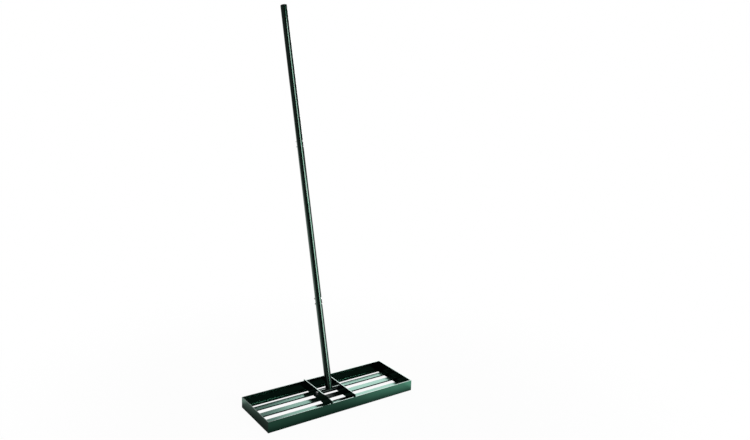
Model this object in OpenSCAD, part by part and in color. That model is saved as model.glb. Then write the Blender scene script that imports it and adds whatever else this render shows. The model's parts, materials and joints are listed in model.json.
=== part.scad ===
// Lawn leveling rake: an open steel head with three raised slats, and a tall handle
// in three screwed sections whose cross tube pivots on a bolt between two centre plates.
// Lengths are in millimetres. X runs along the head, Y to the rear and Z up.
// The origin lies on the ground under the middle of the front wall's lip.

/* [Head walls] */
// Length of the head, along X
head_l = 762; // [560:2:1000]
// Depth of the head from front to rear, along Y
head_d = 254; // [220:2:340]
// Height of the four walls above the ground
wall_h = 50; // [44:1:80]
// Thickness of the walls and their lips
wall_t = 3; // [2:0.5:4]
// Width of the inward lip that skids on the ground, from the wall's outer face
lip_w = 15; // [12:1:30]
// Inner radius of the corner between wall and lip, whose outer edge is sharp
corner_r = 2; // [1:0.5:5]

/* [Slats] */
// Width of a slat, from front to rear
slat_w = 30; // [20:1:40]
// Thickness of a slat
slat_t = 6; // [4:0.5:7]
// Height of the slats' upper faces above the ground
slat_top = 15; // [13:0.5:22]
// Radius of a slat's rolled edges
slat_edge_r = 0.8; // [0.5:0.1:1.8]

/* [Centre plates] */
// Clear distance between the two centre plates
plate_gap = 119; // [105:1:160]
// Thickness of a centre plate
plate_t = 3; // [2:0.5:6]
// Height of the plates' upper edges above the walls
plate_rise = 9; // [4:1:20]
// Radius of a plate's upper corners
plate_corner_r = 2; // [1:0.5:4]

/* [Pivot bolt] */
// Height of the pivot above the ground
pivot_h = 43.5; // [36:0.5:46]
// Diameter of the pivot bolt
bolt_d = 8; // [6:0.5:9]
// Distance across the flats of the bolt's head and lock nut
bolt_af = 13; // [12:0.5:16]
// Height of the bolt's head
bolt_head_h = 5.3; // [4:0.1:7]
// Length of the bolt beyond its lock nut
bolt_proud = 2; // [1:0.5:4]
// Thickness of the washers outside the plates
washer_t = 1.6; // [1:0.1:2.5]
// Outer diameter of the washers
washer_d = 16; // [15:0.5:18]
// Height of the hexagon of the lock nut
nut_hex_h = 6.5; // [5:0.1:8]
// Height of the round collar of the lock nut
nut_collar_h = 1.5; // [1:0.1:3]
// Diameter of the round collar of the lock nut
nut_collar_d = 11.4; // [10.5:0.1:11.8]

/* [Cross tube] */
// Outer diameter of the cross tube that turns on the pivot bolt
cross_d = 20; // [18:0.5:24]
// Wall of the cross tube
cross_wall = 2.5; // [1.5:0.5:3]
// Length of a bushing inside the cross tube
bushing_l = 14; // [8:1:30]
// Thickness of a bushing's flange, between cross tube and plate
flange_t = 2; // [1:0.5:4]
// Diameter of a bushing's flange
flange_d = 22; // [20:0.5:26]
// Depth to which the foot of the handle is coped over the cross tube
foot_sink = 4; // [2:0.5:8]

/* [Handle] */
// Lean of the handle to the rear, in degrees from upright
handle_lean = 14.4; // [0:0.1:40]
// Outer diameter of the handle tube
tube_d = 31.8; // [25.4:0.1:34]
// Wall of the handle tube
tube_wall = 1.5; // [1.2:0.1:2]
// Length from the pivot to the upper end of the lower section
lower_l = 437; // [300:1:700]
// Length of the middle section between its two seams
middle_l = 732; // [400:1:900]
// Length of the upper section above its seam, without the end plug
upper_l = 624; // [300:1:800]
// Chamfer on the outer edge of a section's ends, which shows as a groove at each seam
end_break = 0.5; // [0.2:0.1:0.8]
// Length of the reduced spigot that slides into the section below
spigot_l = 64; // [50:1:90]
// Length over which a section narrows to its spigot, inside
swage_l = 6; // [3:0.5:12]

/* [Section screws] */
// Distance from a seam down to its upper screw
screw_drop = 16; // [10:0.5:18]
// Distance between the two screws of a seam
screw_pitch = 24; // [16:0.5:28]
// Turn of the screw heads from the front toward the right end, in degrees
screw_turn = 30; // [0:1:60]
// Diameter of a screw
screw_d = 5; // [4:0.5:5.5]
// Diameter of a screw's round head
screw_head_d = 9.5; // [8:0.5:12]
// Height of a screw's round head
screw_head_h = 2.8; // [2.4:0.1:4]
// Distance across the flats of a screw's drive socket
socket_af = 3; // [2.5:0.1:3.5]
// Depth of a screw's drive socket
socket_depth = 1.6; // [1:0.1:2]
// Distance across the flats of a screw's nut
screw_nut_af = 8; // [7.5:0.5:10]
// Height of a screw's nut
screw_nut_h = 4; // [3:0.5:6]
// Length of a screw beyond its nut
screw_proud = 1; // [0.5:0.5:3]

/* [End plug] */
// Thickness of the plug's cap
cap_t = 3; // [2.5:0.5:6]
// Step from the tube's surface in to the side of the cap
cap_step = 0.3; // [0.1:0.1:1]
// Radius of the cap's rounded edge
cap_edge_r = 1.5; // [0.5:0.5:2]
// Length of the plug's stem inside the tube
stem_l = 22; // [12:1:40]
// Wall of the plug's stem
stem_wall = 2; // [1:0.5:4]

/* [Hidden] */
$fn = 96;

// Radial clearance of a bushing, which turns on the pivot bolt
run_clear = 0.05;
// Radial clearance of a bushing in the cross tube
press_clear = 0.02;
// Radial clearance of a bolt or screw in a plain hole
hole_clear = 0.2;
// Radial clearance of a bolt or screw in its nut
thread_clear = 0.05;
// Play along X between a bushing's flange and the plate
side_play = 0.1;
// Radial clearance of a spigot in its socket, and of the plug's stem in the tube
slide_clear = 0.15;
// Clearance between the cross tube and the cope cut for it
cope_clear = 0.05;
// Length by which a cut runs past the faces that it goes through
overrun = 1;
// Slope of the chamfer on the bolt's head and lock nut, in degrees from their flat faces
hex_chamfer = 30;
// Diameter of a chamfered face, as a share of the distance across the flats
hex_face_share = 0.95;
// Number of slats, evenly spaced over the depth of the head
slat_count = 3;

inner_l = head_l - 2 * wall_t;
inner_d = head_d - 2 * wall_t;
// Place along Y of the head's middle, seen from the middle of the front lip
head_mid = head_d / 2 - lip_w / 2;
slat_pitch = inner_d / (slat_count + 1);
plate_top = wall_h + plate_rise;

// Places along X of the faces stacked on the pivot bolt, from the middle outward
plate_in = plate_gap / 2;
plate_out = plate_in + plate_t;
flange_out = plate_in - side_play;
cross_end = flange_out - flange_t;
washer_out = plate_out + washer_t;
nut_out = washer_out + nut_hex_h + nut_collar_h;

tube_r = tube_d / 2;
bore_r = tube_r - tube_wall;
spigot_r = bore_r - slide_clear;
lower_seam = lower_l;
upper_seam = lower_seam + middle_l;
tube_top = upper_seam + upper_l;
// Place up the handle of its foot, from the pivot
foot = cross_d / 2 - foot_sink;

// Lay a flat profile along X: its first axis becomes Y and its second becomes Z
module along_x(from, to) {
    translate([from, 0, 0])
        rotate([90, 0, 90])
            linear_extrude(to - from)
                children();
}

// Move children from a frame on the ground under the middle of the head
module on_head() {
    translate([0, head_mid, 0])
        children();
}

// Turn children built along Z onto the pivot axis, to the right or to the left
module on_pivot(turn = 0) {
    translate([0, head_mid, pivot_h])
        rotate([0, 90, turn])
            children();
}

// Move children from a frame whose Z runs up the handle from the pivot
module on_handle() {
    translate([0, head_mid, pivot_h])
        rotate([-handle_lean, 0, 0])
            children();
}

// Place children built along Z on the two screw axes below a seam
module on_screws(seam) {
    for (drop = [screw_drop, screw_drop + screw_pitch])
        translate([0, 0, seam - drop])
            rotate([90, 0, screw_turn])
                children();
}

module ring(across, bore, from, to) {
    translate([0, 0, from])
        difference() {
            cylinder(d = across, h = to - from);
            translate([0, 0, -overrun])
                cylinder(d = bore, h = to - from + 2 * overrun);
        }
}

module hexagon(across_flats) {
    circle(d = across_flats / cos(30), $fn = 6);
}

// Hexagon prism on the Z axis whose upper end is chamfered round
module chamfered_hex(across_flats, height) {
    face_r = hex_face_share * across_flats / 2;
    intersection() {
        linear_extrude(height)
            hexagon(across_flats);
        cylinder(r1 = face_r + height / tan(hex_chamfer), r2 = face_r, h = height);
    }
}

// Section of a wall: an angle whose lip points inward along the ground
module wall_profile() {
    square([wall_t, wall_h]);
    square([lip_w, wall_t]);
    translate([wall_t, wall_t])
        difference() {
            square(corner_r);
            translate([corner_r, corner_r])
                circle(corner_r);
        }
}

// Wall along the whole head, with its outer face to the front
module long_wall() {
    translate([0, -head_d / 2, 0])
        along_x(-head_l / 2, head_l / 2)
            wall_profile();
}

// Wall between the two long walls, with its outer face to the left: its lip stops at
// their lips, and a tab at each end stands on them
module end_wall() {
    lip_half = head_d / 2 - lip_w;
    translate([-head_l / 2, 0, 0])
        rotate([0, 0, -90]) {
            along_x(-lip_half, lip_half)
                wall_profile();
            for (side = [0, 1])
                mirror([side, 0, 0])
                    translate([lip_half, 0, wall_t])
                        cube([inner_d / 2 - lip_half, wall_t, wall_h - wall_t]);
        }
}

module slat_profile() {
    flat_w = slat_w - 2 * slat_edge_r;
    flat_t = slat_t - 2 * slat_edge_r;
    square([flat_w, slat_t], center = true);
    square([slat_w, flat_t], center = true);
    for (y = [-flat_w / 2, flat_w / 2], z = [-flat_t / 2, flat_t / 2])
        translate([y, z])
            circle(slat_edge_r);
}

// Slat between the end walls, counted from the middle one toward the rear
module slat(row) {
    translate([0, row * slat_pitch, slat_top - slat_t / 2])
        along_x(-inner_l / 2, inner_l / 2)
            slat_profile();
}

// Side view of a centre plate, which stands on the slats between the long walls
module plate_profile() {
    corner_y = inner_d / 2 - plate_corner_r;
    corner_z = plate_top - plate_corner_r;
    difference() {
        union() {
            translate([-inner_d / 2, slat_top])
                square([inner_d, corner_z - slat_top]);
            translate([-corner_y, slat_top])
                square([2 * corner_y, plate_top - slat_top]);
            for (y = [-corner_y, corner_y])
                translate([y, corner_z])
                    circle(plate_corner_r);
        }
        translate([0, pivot_h])
            circle(bolt_d / 2 + hole_clear);
    }
}

// Holes for the two screws below a seam, through both walls of a tube
module screw_holes(seam) {
    on_screws(seam)
        cylinder(d = screw_d + 2 * hole_clear, h = tube_d + 2 * overrun, center = true);
}

// Plain tube whose upper end has a chamfered outer edge
module plain_tube(from, top) {
    rotate_extrude()
        polygon([
            [bore_r, from],
            [tube_r, from],
            [tube_r, top - end_break],
            [tube_r - end_break, top],
            [bore_r, top],
        ]);
}

// Handle section whose lower end is swaged to a spigot with the same wall
module swaged_tube(seam, top) {
    rotate_extrude()
        polygon([
            [spigot_r - tube_wall, seam - spigot_l],
            [spigot_r, seam - spigot_l],
            [spigot_r, seam],
            [tube_r - end_break, seam],
            [tube_r, seam + end_break],
            [tube_r, top - end_break],
            [tube_r - end_break, top],
            [bore_r, top],
            [bore_r, seam + swage_l],
            [spigot_r - tube_wall, seam],
        ]);
}

// Screw along Z through a tube, with a domed head and a hexagon socket
module joint_screw() {
    dome_r = (pow(screw_head_d / 2, 2) + pow(screw_head_h, 2)) / (2 * screw_head_h);
    shank_end = tube_r + screw_nut_h + screw_proud;
    translate([0, 0, -shank_end])
        cylinder(d = screw_d, h = shank_end + tube_r);
    translate([0, 0, tube_r])
        difference() {
            intersection() {
                cylinder(d = screw_head_d, h = screw_head_h);
                translate([0, 0, screw_head_h - dome_r])
                    sphere(dome_r);
            }
            translate([0, 0, screw_head_h - socket_depth])
                linear_extrude(socket_depth + overrun)
                    hexagon(socket_af);
        }
}

module joint_nut() {
    translate([0, 0, -tube_r - screw_nut_h])
        linear_extrude(screw_nut_h)
            difference() {
                hexagon(screw_nut_af);
                circle(screw_d / 2 + thread_clear);
            }
}

module front_wall() {
    color("darkslategray")
        on_head()
            long_wall();
}

module rear_wall() {
    color("darkslategray")
        on_head()
            rotate([0, 0, 180])
                long_wall();
}

module left_wall() {
    color("darkslategray")
        on_head()
            end_wall();
}

module right_wall() {
    color("darkslategray")
        on_head()
            rotate([0, 0, 180])
                end_wall();
}

module rear_slat() {
    color("seagreen")
        on_head()
            slat(1);
}

module middle_slat() {
    color("seagreen")
        on_head()
            slat(0);
}

module front_slat() {
    color("seagreen")
        on_head()
            slat(-1);
}

module left_plate() {
    color("darkgreen")
        on_head()
            along_x(-plate_out, -plate_in)
                plate_profile();
}

module right_plate() {
    color("darkgreen")
        on_head()
            along_x(plate_in, plate_out)
                plate_profile();
}

// One long hexagon bolt through both plates, with its head on the left
module pivot_bolt() {
    color("dimgray") {
        on_pivot(180)
            translate([0, 0, washer_out])
                chamfered_hex(bolt_af, bolt_head_h);
        on_pivot()
            translate([0, 0, -washer_out])
                cylinder(d = bolt_d, h = washer_out + nut_out + bolt_proud);
    }
}

module pivot_washers() {
    color("silver")
        for (turn = [0, 180])
            on_pivot(turn)
                ring(washer_d, bolt_d + 2 * hole_clear, plate_out, washer_out);
}

// Lock nut with a round collar, outside the right plate
module pivot_nut() {
    color("silver")
        on_pivot()
            difference() {
                union() {
                    translate([0, 0, washer_out])
                        chamfered_hex(bolt_af, nut_hex_h);
                    translate([0, 0, washer_out])
                        cylinder(d = nut_collar_d, h = nut_hex_h + nut_collar_h);
                }
                translate([0, 0, washer_out - overrun])
                    cylinder(r = bolt_d / 2 + thread_clear, h = nut_out - washer_out + 2 * overrun);
            }
}

// Flanged bushings in the ends of the cross tube, which turn on the pivot bolt
module pivot_bushings() {
    body_d = cross_d - 2 * cross_wall - 2 * press_clear;
    color("black")
        for (turn = [0, 180])
            on_pivot(turn)
                difference() {
                    union() {
                        translate([0, 0, cross_end - bushing_l])
                            cylinder(d = body_d, h = bushing_l + flange_t);
                        translate([0, 0, cross_end])
                            cylinder(d = flange_d, h = flange_t);
                    }
                    translate([0, 0, cross_end - bushing_l - overrun])
                        cylinder(r = bolt_d / 2 + run_clear, h = bushing_l + flange_t + 2 * overrun);
                }
}

// Round tube on the pivot axis, which the handle's foot is welded to
module cross_tube() {
    color("darkgreen")
        on_pivot()
            ring(cross_d, cross_d - 2 * cross_wall, -cross_end, cross_end);
}

// Lower section of the handle, whose foot is coped over the cross tube
module lower_tube() {
    color("darkgreen")
        on_handle()
            difference() {
                plain_tube(foot, lower_seam);
                rotate([0, 90, 0])
                    cylinder(r = cross_d / 2 + cope_clear, h = tube_d + 2 * overrun, center = true);
                screw_holes(lower_seam);
            }
}

module middle_tube() {
    color("darkgreen")
        on_handle()
            difference() {
                swaged_tube(lower_seam, upper_seam);
                screw_holes(lower_seam);
                screw_holes(upper_seam);
            }
}

module upper_tube() {
    color("darkgreen")
        on_handle()
            difference() {
                swaged_tube(upper_seam, tube_top);
                screw_holes(upper_seam);
            }
}

// Plug that closes the top of the handle, with a hollow stem
module end_plug() {
    stem_r = bore_r - slide_clear;
    cap_r = tube_r - cap_step;
    color("black")
        on_handle()
            translate([0, 0, tube_top])
                rotate_extrude() {
                    square([cap_r, cap_t - cap_edge_r]);
                    square([cap_r - cap_edge_r, cap_t]);
                    translate([cap_r - cap_edge_r, cap_t - cap_edge_r])
                        circle(cap_edge_r);
                    translate([stem_r - stem_wall, -stem_l])
                        square([stem_wall, stem_l]);
                }
}

module lower_joint_screws() {
    color("silver")
        on_handle()
            on_screws(lower_seam)
                joint_screw();
}

module lower_joint_nuts() {
    color("silver")
        on_handle()
            on_screws(lower_seam)
                joint_nut();
}

module upper_joint_screws() {
    color("silver")
        on_handle()
            on_screws(upper_seam)
                joint_screw();
}

module upper_joint_nuts() {
    color("silver")
        on_handle()
            on_screws(upper_seam)
                joint_nut();
}

front_wall();
rear_wall();
left_wall();
right_wall();
rear_slat();
middle_slat();
front_slat();
left_plate();
right_plate();
pivot_bolt();
pivot_washers();
pivot_nut();
pivot_bushings();
cross_tube();
lower_tube();
middle_tube();
upper_tube();
end_plug();
lower_joint_screws();
lower_joint_nuts();
upper_joint_screws();
upper_joint_nuts();
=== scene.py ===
# %% [markdown]
# # Lawn leveling rake
# The rake is a wide open steel head with raised slats, and a tall tube handle that
# pivots between two centre plates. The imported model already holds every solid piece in
# its place, so this lesson dresses it: camera, light and floor, then one finish at a time,
# and last the weld beads that hold the head together.

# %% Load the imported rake
import json
import math

import bpy
from mathutils import Matrix, Vector


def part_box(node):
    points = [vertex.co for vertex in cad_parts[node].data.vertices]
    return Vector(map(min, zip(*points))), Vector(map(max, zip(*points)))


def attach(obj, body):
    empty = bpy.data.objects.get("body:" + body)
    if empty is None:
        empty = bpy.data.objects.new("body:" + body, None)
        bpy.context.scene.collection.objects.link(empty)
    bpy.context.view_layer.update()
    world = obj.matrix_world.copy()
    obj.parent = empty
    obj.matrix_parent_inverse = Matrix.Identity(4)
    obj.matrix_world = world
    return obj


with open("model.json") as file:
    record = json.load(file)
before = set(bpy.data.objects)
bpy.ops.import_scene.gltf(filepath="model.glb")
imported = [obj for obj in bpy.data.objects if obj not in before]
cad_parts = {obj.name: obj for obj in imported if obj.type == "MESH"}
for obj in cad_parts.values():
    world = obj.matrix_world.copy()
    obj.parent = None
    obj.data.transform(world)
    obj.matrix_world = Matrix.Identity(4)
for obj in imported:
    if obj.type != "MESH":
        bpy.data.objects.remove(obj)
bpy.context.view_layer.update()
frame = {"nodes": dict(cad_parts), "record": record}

# A box is a low and a high corner, and each corner has these three values.
LOW, HIGH = 0, 1
X, Y, Z = 0, 1, 2

# %% [markdown]
# ## Camera
# The viewing place was found by fitting a camera to the corners of the head, whose sides are
# known lengths, and to points along the handle. The lens is given in pixels of the picture, so
# its focal length in millimetres follows from the sensor's width. A level camera with a strongly
# shifted lens would show nearly the same picture, but it would lose the rake when it is seen from
# another side. So this camera is tilted down, and its lens is shifted only a little.

# %% Camera at the photographed angle
IMAGE_WIDTH, IMAGE_HEIGHT = 750, 440
FOCAL_PIXELS = 661.3
OPTICAL_CENTRE = (320.5, 200.3)
SENSOR_MM = 36.0
CAMERA_PLACE = Vector((-1.5439, -2.2477, 1.464))
CAMERA_YAW = math.radians(-32.056)
CAMERA_PITCH = math.radians(-10.72)
CAMERA_ROLL = math.radians(0.802)
QUARTER_TURN = math.pi / 2


def add_camera():
    data = bpy.data.cameras.new("photo_camera")
    data.sensor_width = SENSOR_MM
    data.lens = SENSOR_MM * FOCAL_PIXELS / IMAGE_WIDTH
    data.shift_x = (IMAGE_WIDTH / 2 - OPTICAL_CENTRE[0]) / IMAGE_WIDTH
    data.shift_y = (OPTICAL_CENTRE[1] - IMAGE_HEIGHT / 2) / IMAGE_WIDTH
    camera = bpy.data.objects.new("photo_camera", data)
    turn = Matrix.Rotation(CAMERA_YAW, 4, "Z")
    tilt = Matrix.Rotation(QUARTER_TURN + CAMERA_PITCH, 4, "X")
    roll = Matrix.Rotation(CAMERA_ROLL, 4, "Z")
    camera.matrix_world = Matrix.Translation(CAMERA_PLACE) @ turn @ tilt @ roll
    bpy.context.scene.collection.objects.link(camera)
    bpy.context.scene.camera = camera
    return camera


camera = add_camera()
bpy.context.scene.view_settings.view_transform = "Standard"
print("lens:", round(camera.data.lens, 2), "mm, shift:", camera.data.shift_x, camera.data.shift_y)

# %% [markdown]
# ## Shader arithmetic
# A finish is mostly arithmetic on patterns, and a sum of nodes is hard to read as a list of
# links. This small class wraps a socket, so that `1 - mask * 0.3` adds the Math nodes by
# itself. Any other node comes from `Finish.node`, with its settings first and its sockets next.

# %% Sockets that do arithmetic
class Field:
    """A value that changes over a surface, used in plain arithmetic."""

    def __init__(self, finish, socket):
        self.finish = finish
        self.socket = socket

    def _math(self, operation, first, second):
        return self.finish.node("ShaderNodeMath", {"operation": operation}, {0: first, 1: second})

    def __add__(self, other):
        return self._math("ADD", self, other)

    __radd__ = __add__

    def __sub__(self, other):
        return self._math("SUBTRACT", self, other)

    def __rsub__(self, other):
        return self._math("SUBTRACT", other, self)

    def __mul__(self, other):
        return self._math("MULTIPLY", self, other)

    __rmul__ = __mul__

    def above(self, edge, width):
        """0 below the edge and 1 a width above it, with a smooth rise."""
        settings = {"interpolation_type": "SMOOTHSTEP"}
        sockets = {"Value": self, "From Min": edge, "From Max": edge + width}
        return self.finish.node("ShaderNodeMapRange", settings, sockets)


print("shader arithmetic ready")

# %% Node trees under construction
# A Mix node has a set of sockets for each kind of data, and these are the ones for colours.
MIX_FACTOR, MIX_FIRST, MIX_SECOND, MIX_RESULT = 0, 6, 7, 2


class Finish:
    """The node tree of a material or of the world, while it is put together."""

    def __init__(self, owner):
        owner.use_nodes = True
        self.tree = owner.node_tree
        self.tree.nodes.clear()

    def node(self, kind, settings=None, sockets=None, output=0):
        made = self.tree.nodes.new(kind)
        for name, value in (settings or {}).items():
            setattr(made, name, value)
        for key, value in (sockets or {}).items():
            if isinstance(value, Field):
                self.tree.links.new(value.socket, made.inputs[key])
            else:
                made.inputs[key].default_value = value
        return Field(self, made.outputs[output]) if made.outputs else made

    def place(self):
        """Where a point lies on its piece, in metres."""
        return self.node("ShaderNodeTexCoord", output="Object")

    def along(self, vector, axis):
        return self.node("ShaderNodeSeparateXYZ", None, {"Vector": vector}, output=axis)

    def measure(self, operation, first, second):
        """A number from two vectors, such as their dot product or their distance."""
        settings = {"operation": operation}
        return self.node("ShaderNodeVectorMath", settings, {0: first, 1: second}, output="Value")

    def stretched(self, vector, scale):
        return self.node("ShaderNodeMapping", None, {"Vector": vector, "Scale": scale})

    def noise(self, vector, size, detail):
        """Soft random field between 0 and 1 whose blotches are about a size across, in metres."""
        sockets = {"Vector": vector, "Scale": 1 / size, "Detail": detail}
        return self.node("ShaderNodeTexNoise", None, sockets)

    def mix(self, factor, first, second):
        settings = {"data_type": "RGBA"}
        sockets = {MIX_FACTOR: factor, MIX_FIRST: first, MIX_SECOND: second}
        return self.node("ShaderNodeMix", settings, sockets, output=MIX_RESULT)

    def bump(self, height, strength, depth):
        sockets = {"Height": height, "Strength": strength, "Distance": depth}
        return self.node("ShaderNodeBump", None, sockets)

    def surface(self, **sockets):
        """Finish the tree with a Principled shader; a socket's name has _ for each space."""
        named = {name.replace("_", " "): value for name, value in sockets.items()}
        shader = self.node("ShaderNodeBsdfPrincipled", None, named)
        self.node("ShaderNodeOutputMaterial", None, {"Surface": shader})


def ray_kinds(finish):
    """Two masks: rays from the camera, and rays that a mirror or a glass sends on."""
    seen, glossy, passed = (
        finish.node("ShaderNodeLightPath", output=name)
        for name in ("Is Camera Ray", "Is Glossy Ray", "Is Transmission Ray")
    )
    return seen, glossy + passed


print("node trees ready")

# %% [markdown]
# ## World
# The photograph has a plain white ground, so the world is white to the camera. An even white all
# round would also whiten every face of the paint, which is a dark mirror. So mirrors see a grey
# that is brighter behind the rake, at the sides and overhead, and dark behind the camera, and all
# other light gets one low level. The three masks come from the direction of the ray.

# %% White world that dims behind the camera
WORLD_FRONT = 0.06
WORLD_REAR = 0.4
WORLD_SIDE = 0.16
WORLD_TOP = 0.8
WORLD_FILL = 0.25
# Each rise says where a mask starts and over what width it grows.
REAR_RISE = (0.0, 0.8)
SIDE_RISE = (0.2, 0.5)
TOP_RISE = (0.7, 0.25)
WHITE = (1, 1, 1, 1)


def light_world():
    world = bpy.data.worlds.new("studio")
    bpy.context.scene.world = world
    finish = Finish(world)
    direction = finish.node("ShaderNodeTexCoord", output="Generated")
    rearward = Vector((math.sin(-CAMERA_YAW), math.cos(CAMERA_YAW), 0))
    toward = finish.measure("DOT_PRODUCT", direction, rearward)
    sideways = finish.along(direction, "X")
    mirror_level = (
        WORLD_FRONT
        + toward.above(*REAR_RISE) * (WORLD_REAR - WORLD_FRONT)
        + (sideways * sideways).above(*SIDE_RISE) * WORLD_SIDE
        + finish.along(direction, "Z").above(*TOP_RISE) * WORLD_TOP
    )
    seen, mirrored = ray_kinds(finish)
    strength = seen + mirrored * mirror_level + (1 - seen - mirrored) * WORLD_FILL
    background = finish.node("ShaderNodeBackground", None, {"Color": WHITE, "Strength": strength})
    finish.node("ShaderNodeOutputWorld", None, {"Surface": background})
    return world


print("world:", light_world().name)

# %% [markdown]
# ## Lamps
# The slats mirror a bright card that stands behind the rake on the right, and two dimmer strips
# let it fade to the left. Far in front, a large softbox draws the line of light down the handle,
# and a second one above it carries the line to the handle's top. Such lines could be painted on
# the tube, but they have to slide over it when the handle swings, so lamps make them. A weak lamp
# overhead adds a little light from above.

# %% Area lights
HEAD_MIDDLE = Vector((0, 0.1195, 0.02))
CARD_ELEVATION = 26
CARD_DISTANCE = 3.5
CARD_HEIGHT = 1.3
SOFTBOX_DISTANCE = 40.0
SOFTBOX_AIM = Vector((0, 0.3, 6.6))


def add_light(name, azimuth, elevation, distance, size, radiance, aim=HEAD_MIDDLE):
    """A card of an even brightness, turned to its aim; azimuth counts from the rear to the right."""
    data = bpy.data.lights.new(name, "AREA")
    data.shape = "RECTANGLE"
    data.size, data.size_y = size
    data.energy = radiance * math.pi * size[0] * size[1]
    light = bpy.data.objects.new(name, data)
    level = math.cos(math.radians(elevation))
    away = Vector((
        level * math.sin(math.radians(azimuth)),
        level * math.cos(math.radians(azimuth)),
        math.sin(math.radians(elevation)),
    ))
    turn = away.to_track_quat("Z", "Y").to_matrix().to_4x4()
    light.matrix_world = Matrix.Translation(aim + away * distance) @ turn
    light.visible_camera = False
    bpy.context.scene.collection.objects.link(light)
    print("light:", name, [round(value, 2) for value in light.matrix_world.translation])


for name, azimuth, width, radiance in (
    ("rear_card", 41, 1.1, 4.2),
    ("rear_edge", 28.5, 0.4, 2.7),
    ("rear_fill", 22.5, 0.4, 0.8),
):
    add_light(name, azimuth, CARD_ELEVATION, CARD_DISTANCE, (width, CARD_HEIGHT), radiance)
add_light(
    "softbox",
    azimuth=155,
    elevation=0,
    distance=SOFTBOX_DISTANCE,
    size=(16.4, 12.6),
    radiance=13.0,
    aim=SOFTBOX_AIM,
)
add_light(
    "softbox_top",
    azimuth=171,
    elevation=25.5,
    distance=SOFTBOX_DISTANCE,
    size=(8.4, 11.4),
    radiance=18.0,
)
add_light("overhead", azimuth=-40, elevation=75, distance=3.2, size=(2.0, 2.0), radiance=0.5)

# %% [markdown]
# ## Floor
# The rake stands on a wide pale sheet. The camera sees it as a glow that is almost white, and a
# small matte share near the head keeps the shadow. Walls and slats mirror the floor as well, and
# an even white floor would wash out their green. So for mirrors the floor carries painted shade
# inside the head and painted light in front of it, beyond it and beside it. To all other light it is
# plain and pale.

# %% Floor finish
FLOOR_DARK = (0.86, 0.86, 0.86, 1)
FLOOR_PALE = (0.92, 0.92, 0.92, 1)
FLOOR_GRAIN = 0.004
GLOW_NEAR = 0.96
# Where each band of the floor starts and over what width it grows, in metres. The first two count
# from the head's middle outwards, and the others from the origin to the front, right, left or rear;
# beyond lies to the rear, and beside to the right.
GLOW_BAND = (0.6, 1.2)
FAR_BAND = (0.6, 0.6)
FRONT_BAND = (-0.02, 0.10)
RIGHT_BAND = (-0.05, 0.5)
LEFT_BAND = (0.36, 0.1)
REAR_BAND = (0.1, 0.2)
BEYOND_BAND = (0.26, 0.05)
BESIDE_BAND = (0.385, 0.03)
# What mirrors see inside the head, a painted shade, and the painted light that each band adds to it.
INSIDE_SHADE_LEVEL = 0.05
FRONT_LEVEL, FRONT_RIGHT_LEVEL = 0.4, 1.25
LEFT_LEVEL, LEFT_REAR_LEVEL = 0.2, 0.4
OUTER_LEVEL = 0.7


def mirrored_floor(finish, place, away):
    """How bright a mirror sees each point of the floor: painted shade inside the head, painted light
    in bands around it.
    """
    rightward = finish.along(place, "X")
    rearward = finish.along(place, "Y")
    to_front = (0 - rearward).above(*FRONT_BAND) * (1 - away.above(*FAR_BAND))
    to_left = (0 - rightward).above(*LEFT_BAND)
    return (
        INSIDE_SHADE_LEVEL
        + to_left * (LEFT_LEVEL + rearward.above(*REAR_BAND) * LEFT_REAR_LEVEL)
        + to_front * (FRONT_LEVEL + rightward.above(*RIGHT_BAND) * FRONT_RIGHT_LEVEL)
        + rearward.above(*BEYOND_BAND) * OUTER_LEVEL
        + rightward.above(*BESIDE_BAND) * OUTER_LEVEL
    )


def floor_finish():
    material = bpy.data.materials.new("pale_floor")
    finish = Finish(material)
    place = finish.place()
    tone = finish.mix(finish.noise(place, FLOOR_GRAIN, detail=3.0), FLOOR_DARK, FLOOR_PALE)
    matte = finish.node("ShaderNodeBsdfDiffuse", None, {"Color": tone})
    away = finish.measure("DISTANCE", place, HEAD_MIDDLE)
    seen, mirrored = ray_kinds(finish)
    level = seen + mirrored * mirrored_floor(finish, place, away)
    glow = finish.node("ShaderNodeEmission", None, {"Color": level, "Strength": 1.0})
    share = GLOW_NEAR + away.above(*GLOW_BAND) * (1 - GLOW_NEAR)
    shader = finish.node("ShaderNodeMixShader", None, {0: seen * share + mirrored, 1: matte, 2: glow})
    finish.node("ShaderNodeOutputMaterial", None, {"Surface": shader})
    return material


pale_floor = floor_finish()
print("floor finish:", pale_floor.name)

# %% Floor sheet
FLOOR_SIZE = 60.0

bpy.ops.object.select_all(action="DESELECT")
bpy.ops.mesh.primitive_plane_add(size=FLOOR_SIZE, location=(0, 0, 0))
floor = bpy.context.object
floor.name = "floor"
floor.data.materials.append(pale_floor)
print("floor:", FLOOR_SIZE, "m wide")

# %% [markdown]
# ## Green powder coat
# Head and handle are sprayed with a deep green metallic powder coat. Such a paint has hardly
# any colour of its own: its flakes tint what they mirror, so a face looks pale green where it
# mirrors white and almost black where it mirrors the inside of the head. A plain green paint
# would be one green all over, so the coat is made as a metal here. It levels out into a faint
# orange peel, and a painted highlight makes its upper edges pale.

# %% Powder coat
MOTTLE_SIZE, PEEL_SIZE, FLAKE_SIZE = 0.09, 0.004, 0.0012
MOTTLE_DARK, MOTTLE_PALE = 0.85, 1.15
MOTTLE_ROUGHNESS = 0.05
FLAKE_RISE = (0.62, 0.1)
FLAKE_SHARE, FLAKE_LEVEL = 0.3, 2.0
PEEL_STRENGTH, PEEL_DEPTH = 0.03, 0.0002
SKIN_ROUGHNESS = 0.06
# Painted highlight on upper edges: a pale tone mixed in over a thin top band, patchy with the peel.
EDGE_HIGHLIGHT_TONE = (0.16, 0.20, 0.185, 1)
EDGE_HIGHLIGHT_SHARE, EDGE_HIGHLIGHT_PATCHES = 0.6, 0.6
EDGE_HIGHLIGHT_DEPTH = 0.0006
# Painted shade between the centre plates: a darker and rougher stretch of the coat.
SHADE_FADE = 0.004
SHADE_SHARE, SHADE_LEVEL = 0.9, 0.03
DULL_ROUGHNESS = 0.3


def shade(colour, level):
    return (*(channel * level for channel in colour), 1)


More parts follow.
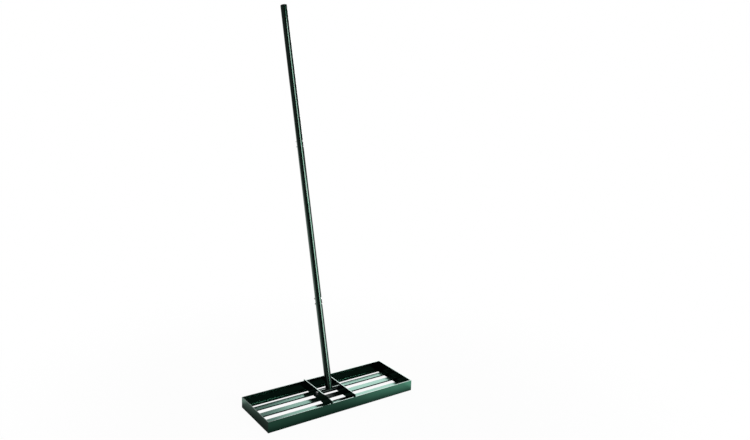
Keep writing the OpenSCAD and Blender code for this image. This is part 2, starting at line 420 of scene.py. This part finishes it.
def powder_coat(name, colour, roughness, clear_skin=0.0, highlight_height=None, shade_half=None):
    """Metallic paint; painted highlight at an edge's height, painted shade within a half width of the
    middle.
    """
    material = bpy.data.materials.new(name)
    finish = Finish(material)
    place = finish.place()
    mottle = finish.noise(place, MOTTLE_SIZE, detail=3.0)
    flake = finish.noise(place, FLAKE_SIZE, detail=1.0)
    peel = finish.noise(place, PEEL_SIZE, detail=2.0)
    tone = finish.mix(mottle, shade(colour, MOTTLE_DARK), shade(colour, MOTTLE_PALE))
    tone = finish.mix(flake.above(*FLAKE_RISE) * FLAKE_SHARE, tone, shade(colour, FLAKE_LEVEL))
    # Painted highlight: the top band of the piece is mixed towards a pale tone.
    if highlight_height is not None:
        edge_highlight = finish.along(place, "Z").above(highlight_height - EDGE_HIGHLIGHT_DEPTH, EDGE_HIGHLIGHT_DEPTH / 2)
        tone = finish.mix(edge_highlight * (EDGE_HIGHLIGHT_SHARE + peel * EDGE_HIGHLIGHT_PATCHES), tone, EDGE_HIGHLIGHT_TONE)
    # Painted shade: the middle stretch is darkened and made rougher.
    if shade_half is not None:
        across = finish.along(place, "X")
        dull_shade = 1 - (across * across).above((shade_half - SHADE_FADE) ** 2, 2 * shade_half * SHADE_FADE)
        tone = finish.mix(dull_shade * SHADE_SHARE, tone, shade(colour, SHADE_LEVEL))
        roughness = roughness + dull_shade * DULL_ROUGHNESS
    finish.surface(
        Base_Color=tone,
        Metallic=1.0,
        Roughness=roughness + mottle * MOTTLE_ROUGHNESS,
        Coat_Weight=clear_skin,
        Coat_Roughness=SKIN_ROUGHNESS,
        Normal=finish.bump(peel, PEEL_STRENGTH, PEEL_DEPTH),
    )
    return material


def dress(names, material):
    for name in names:
        for slot in frame["nodes"][name].material_slots:
            slot.material = material
    print(material.name, "on:", ", ".join(names))


print("coat patterns:", MOTTLE_SIZE, PEEL_SIZE, FLAKE_SIZE, "m")

# %% Coat on walls and plates
SHEET_GREEN = (0.03, 0.10, 0.066)
SHEET_ROUGHNESS = 0.14
WALLS = ("front_wall", "rear_wall", "left_wall", "right_wall")
PLATES = ("left_plate", "right_plate")

wall_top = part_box("front_wall")[HIGH][Z]
plate_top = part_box("left_plate")[HIGH][Z]
dress(WALLS, powder_coat("green_wall_coat", SHEET_GREEN, SHEET_ROUGHNESS, highlight_height=wall_top))
dress(PLATES, powder_coat("green_plate_coat", SHEET_GREEN, SHEET_ROUGHNESS, highlight_height=plate_top))

# %% [markdown]
# ## Coat on the slats
# The slats mirror the bright card, so they look palest here; their coat is also a paler, bluer copy
# of the wall green, which paints in part of that lit look.
# Between the centre plates the rear and the middle slat lie in the plates' shade, which is painted
# in as a dark, dull stretch of the same coat, made with one mask, which fades at the plates.

# %% Coat on slats
# A paler, bluer copy of the wall green, painted for the slats' lit look.
SLAT_GREEN = (0.042, 0.10, 0.078)
SLAT_ROUGHNESS = 0.16
# The rear and middle slats get painted shade between the plates.
SHADED_SLATS = ("rear_slat", "middle_slat")

plate_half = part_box("right_plate")[LOW][X]
slat_coat = powder_coat("green_slat_coat", SLAT_GREEN, SLAT_ROUGHNESS)
painted_shade_slat_coat = powder_coat("green_painted_shade_slat_coat", SLAT_GREEN, SLAT_ROUGHNESS, shade_half=plate_half)
dress(["front_slat"], slat_coat)
dress(SHADED_SLATS, painted_shade_slat_coat)

# %% [markdown]
# ## Coat on the tubes
# The handle's sections carry a darker coat under a clear skin, which mirrors white as white, so the
# line of light on them has no tint. The cross tube at the handle's foot is painted almost black as
# painted shade between the plates, and its top carries a thin pale painted highlight, made by the
# same mask as the painted highlights on the upper edges of the walls.

# %% Coat on tubes
TUBE_GREEN = (0.006, 0.03, 0.018)
TUBE_ROUGHNESS, TUBE_SKIN = 0.12, 0.7
# Painted shade: an almost black copy of the coat for the cross tube between the plates.
PIVOT_SHADE_GREEN = (0.003, 0.006, 0.005)
PIVOT_ROUGHNESS, PIVOT_SKIN = 0.2, 0.1
TUBES = ("lower_tube", "middle_tube", "upper_tube")

cross_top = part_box("cross_tube")[HIGH][Z]
tube_coat = powder_coat("green_tube_coat", TUBE_GREEN, TUBE_ROUGHNESS, TUBE_SKIN)
# The cross tube's top gets the painted highlight of the edge mask.
pivot_shade_highlight_coat = powder_coat("green_pivot_shade_highlight_coat", PIVOT_SHADE_GREEN, PIVOT_ROUGHNESS, PIVOT_SKIN, cross_top)
dress(TUBES, tube_coat)
dress(["cross_tube"], pivot_shade_highlight_coat)

# %% [markdown]
# ## Metals and plastics
# The pivot's bolt, washers and nut are zinc plated, and the screws of the handle's seams are bright.
# Plating is never even, so a cloudy noise varies its tone and a stretched one draws fine scratches.
# The bushings and the plug are moulded in black plastic with a fine grain. All are small, so they
# share one function for each kind, and each piece finds its finish by its slot in the record.

# %% Plated steel
CLOUD_SIZE, SCRATCH_SIZE = 0.006, 0.0012
SCRATCH_STRETCH = (1, 1, 12)
SCRATCH_ROUGHNESS = 0.15
SCRATCH_STRENGTH, SCRATCH_DEPTH = 0.15, 0.0001
ZINC_DARK, ZINC_PALE = (0.55, 0.56, 0.57, 1), (0.75, 0.75, 0.75, 1)
BRIGHT_DARK, BRIGHT_PALE = (0.7, 0.71, 0.72, 1), (0.82, 0.82, 0.82, 1)


def in_slot(slot):
    return [part["node"] for part in frame["record"]["subparts"] if part["material_slot"] == slot]


def plated_steel(name, dark, pale, roughness):
    material = bpy.data.materials.new(name)
    finish = Finish(material)
    place = finish.place()
    cloud = finish.noise(place, CLOUD_SIZE, detail=4.0)
    scratch = finish.noise(finish.stretched(place, SCRATCH_STRETCH), SCRATCH_SIZE, detail=3.0)
    finish.surface(
        Base_Color=finish.mix(cloud, dark, pale),
        Metallic=1.0,
        Roughness=roughness + scratch * SCRATCH_ROUGHNESS,
        Normal=finish.bump(scratch, SCRATCH_STRENGTH, SCRATCH_DEPTH),
    )
    return material


dress(in_slot("zinc_steel"), plated_steel("zinc_plate", ZINC_DARK, ZINC_PALE, roughness=0.36))
dress(in_slot("bright_steel"), plated_steel("bright_plate", BRIGHT_DARK, BRIGHT_PALE, roughness=0.2))

# %% Moulded plastic
GRAIN_SIZE, WEAR_SIZE = 0.0008, 0.01
GRAIN_STRENGTH, GRAIN_DEPTH = 0.25, 0.0002
PLASTIC_ROUGHNESS, GRAIN_ROUGHNESS = 0.45, 0.2
WORN_BLACK = (0.045, 0.045, 0.045, 1)
NYLON_BLACK = (0.03, 0.03, 0.03, 1)
PLUG_BLACK = (0.02, 0.02, 0.02, 1)


def moulded_plastic(name, tone):
    material = bpy.data.materials.new(name)
    finish = Finish(material)
    place = finish.place()
    grain = finish.noise(place, GRAIN_SIZE, detail=3.0)
    worn = finish.noise(place, WEAR_SIZE, detail=3.0)
    finish.surface(
        Base_Color=finish.mix(worn, tone, WORN_BLACK),
        Roughness=PLASTIC_ROUGHNESS + grain * GRAIN_ROUGHNESS,
        Normal=finish.bump(grain, GRAIN_STRENGTH, GRAIN_DEPTH),
    )
    return material


dress(in_slot("black_nylon"), moulded_plastic("nylon_black", NYLON_BLACK))
dress(in_slot("black_plastic"), moulded_plastic("plug_black", PLUG_BLACK))

# %% [markdown]
# ## Weld beads
# Walls, slats and plates of such a head are held by short runs of weld. A bead could be a bump
# in the paint, but its ripples show in outline, so it is modelled. A round bar is cut into
# rings, every second ring is drawn in, the ends are pinched, and smooth shading rounds it. Each
# bead lies in its corner with part of its body sunk in the steel.

# %% One bead
BEAD_RADIUS = 0.0024
BEAD_SIDES = 14
RIPPLE = 0.0022
RIPPLE_DEPTH = 0.82
END_PINCH = 0.4


def select_rings(piece, wanted, ring_gap):
    """Select the rings of a bar on the Z axis whose number, counted from its foot, is wanted."""
    bpy.ops.object.mode_set(mode="OBJECT")
    foot = min(point.co.z for point in piece.data.vertices)
    for point in piece.data.vertices:
        point.select = round((point.co.z - foot) / ring_gap) in wanted
    bpy.ops.object.mode_set(mode="EDIT")


def add_bead(name, length):
    """A rippled bead on the Z axis, with its middle at the origin; left in edit mode."""
    rings = 2 * round(length / RIPPLE / 2)
    ring_gap = length / rings
    bpy.ops.object.select_all(action="DESELECT")
    bpy.ops.mesh.primitive_cylinder_add(vertices=BEAD_SIDES, radius=BEAD_RADIUS, depth=length)
    piece = bpy.context.object
    piece.name = piece.data.name = name
    for edge in piece.data.edges:
        low, high = (piece.data.vertices[index].co.z for index in edge.vertices)
        edge.select = low != high
    bpy.ops.object.mode_set(mode="EDIT")
    bpy.ops.mesh.select_mode(type="EDGE")
    bpy.ops.mesh.subdivide(number_cuts=rings - 1)
    bpy.ops.mesh.select_mode(type="VERT")
    select_rings(piece, range(1, rings, 2), ring_gap)
    bpy.ops.transform.resize(value=(RIPPLE_DEPTH, RIPPLE_DEPTH, 1))
    select_rings(piece, (0, rings), ring_gap)
    bpy.ops.transform.resize(value=(END_PINCH, END_PINCH, 1))
    bpy.ops.mesh.select_all(action="SELECT")
    return piece


print("bead:", 2 * BEAD_RADIUS, "m thick, with a ring every", RIPPLE, "m")

# %% Seams of the slats
SLATS = (*SHADED_SLATS, "front_slat")


def add_welds(name, length, places, lying=True):
    """Copies of one bead at each place, lying along the head's depth or standing up."""
    piece = add_bead(name, length)
    if lying:
        bpy.ops.transform.rotate(value=QUARTER_TURN, orient_axis="X", center_override=(0, 0, 0))
    bpy.ops.transform.translate(value=places[0])
    for last, place in zip(places, places[1:]):
        bpy.ops.mesh.duplicate()
        bpy.ops.transform.translate(value=place - last)
    bpy.ops.object.mode_set(mode="OBJECT")
    bpy.ops.object.shade_smooth()
    piece.data.materials.append(slat_coat)
    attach(piece, "head")
    print(name, "beads:", len(places), "box:", [round(size, 4) for size in piece.dimensions])


def crossings(across, deep, height):
    """A place for each pair of a value across the head and one along its depth."""
    return [Vector((x, y, height)) for x in across for y in deep]


slat_boxes = [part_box(name) for name in SLATS]
slat_low, slat_high = slat_boxes[0]
slat_width = slat_high[Y] - slat_low[Y]
slat_middles = [(low[Y] + high[Y]) / 2 for low, high in slat_boxes]
slat_ends = [slat_low[X], slat_high[X]]
slat_top = slat_high[Z]
plate_sides = [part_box("left_plate")[LOW][X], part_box("right_plate")[HIGH][X]]
add_welds("slat_welds", slat_width, crossings(slat_ends, slat_middles, slat_top))
add_welds("plate_foot_welds", slat_width, crossings(plate_sides, slat_middles, slat_top))

# %% Upright seams of plates and walls
UPRIGHT_SHARE = 0.8

plate_ends = [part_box("left_plate")[LOW][Y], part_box("left_plate")[HIGH][Y]]
upright_middle = (slat_top + wall_top) / 2
upright_length = (wall_top - slat_top) * UPRIGHT_SHARE
plate_corners = crossings(plate_sides, plate_ends, upright_middle)
wall_corners = crossings(slat_ends, plate_ends, upright_middle)
add_welds("plate_end_welds", upright_length, plate_corners, lying=False)
add_welds("corner_welds", upright_length, wall_corners, lying=False)
